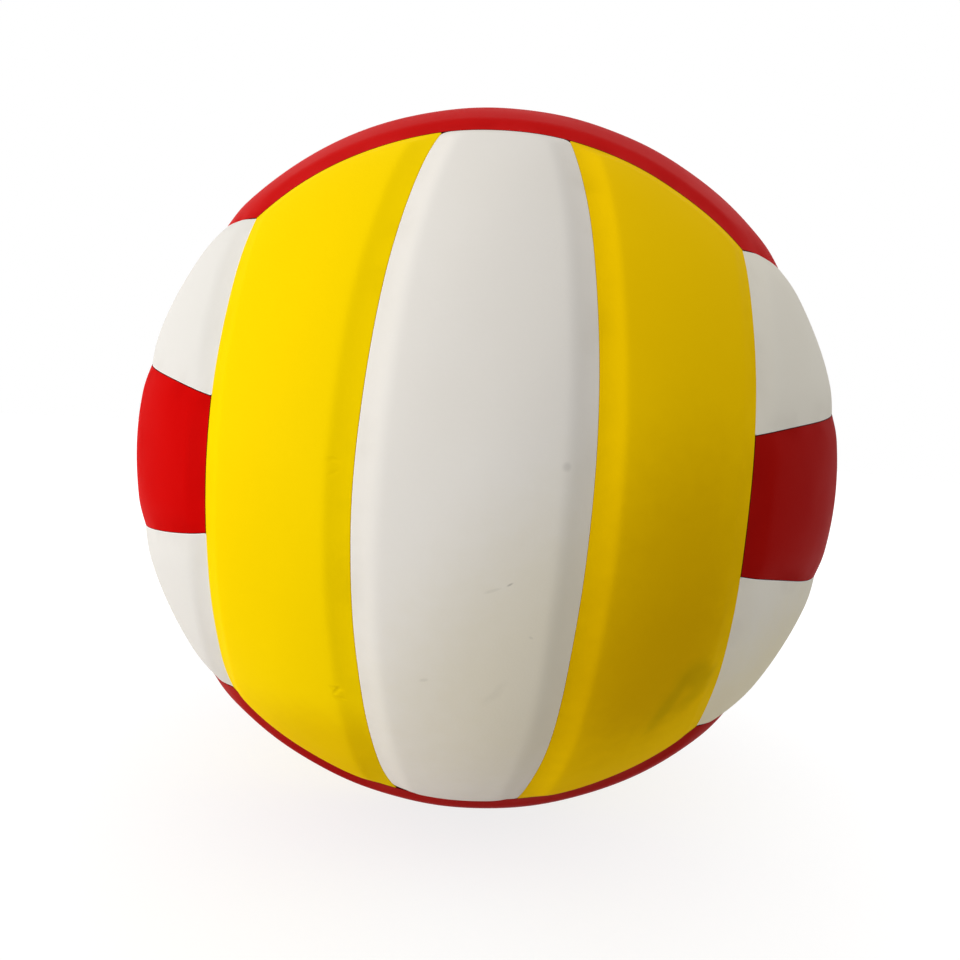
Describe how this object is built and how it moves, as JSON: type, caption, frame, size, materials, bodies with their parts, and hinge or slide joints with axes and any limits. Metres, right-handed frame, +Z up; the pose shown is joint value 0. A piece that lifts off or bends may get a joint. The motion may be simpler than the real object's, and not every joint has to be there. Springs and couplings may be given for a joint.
{
  "type": "volleyball",
  "caption": "Indoor volleyball with strip panels of synthetic leather on foam, bonded over a wound carcass and a bladder, with a pull-out needle valve.",
  "frame": {"origin": "centre of the ball", "axes": "+Z up; the front group of panels faces -Y with its strips upright; +Y runs out along the valve"},
  "size_m": [0.21, 0.2099, 0.21],
  "materials": {
    "cover_yellow": "satin",
    "cover_white": "satin",
    "cover_red": "satin",
    "foam": "matte",
    "carcass": "matte",
    "winding": "matte",
    "bladder": "satin",
    "valve_rubber": "matte",
    "plug_rubber": "matte"
  },
  "bodies": {
    "ball": {"cover_front_left": "cover_yellow", "cover_front_middle": "cover_white", "cover_front_right": "cover_yellow", "cover_back_left": "cover_yellow", "cover_back_middle": "cover_white", "cover_back_right": "cover_yellow", "cover_left_upper": "cover_white", "cover_left_middle": "cover_red", "cover_left_lower": "cover_white", "cover_right_upper": "cover_white", "cover_right_middle": "cover_red", "cover_right_lower": "cover_white", "cover_top_front": "cover_red", "cover_top_middle": "cover_yellow", "cover_top_back": "cover_red", "cover_bottom_front": "cover_red", "cover_bottom_middle": "cover_yellow", "cover_bottom_back": "cover_red", "foam_front_left": "foam", "foam_front_middle": "foam", "foam_front_right": "foam", "foam_back_left": "foam", "foam_back_middle": "foam", "foam_back_right": "foam", "foam_left_upper": "foam", "foam_left_middle": "foam", "foam_left_lower": "foam", "foam_right_upper": "foam", "foam_right_middle": "foam", "foam_right_lower": "foam", "foam_top_front": "foam", "foam_top_middle": "foam", "foam_top_back": "foam", "foam_bottom_front": "foam", "foam_bottom_middle": "foam", "foam_bottom_back": "foam", "carcass": "carcass", "winding": "winding", "bladder": "bladder", "valve_body": "valve_rubber"},
    "valve_plug": {"valve_plug": "plug_rubber"}
  },
  "joints": [
    {"name": "valve_plug_pull", "type": "slide", "parent": "ball", "child": "valve_plug", "axis": [0, 1, 0], "range_m": [0, 0.02]}
  ]
}
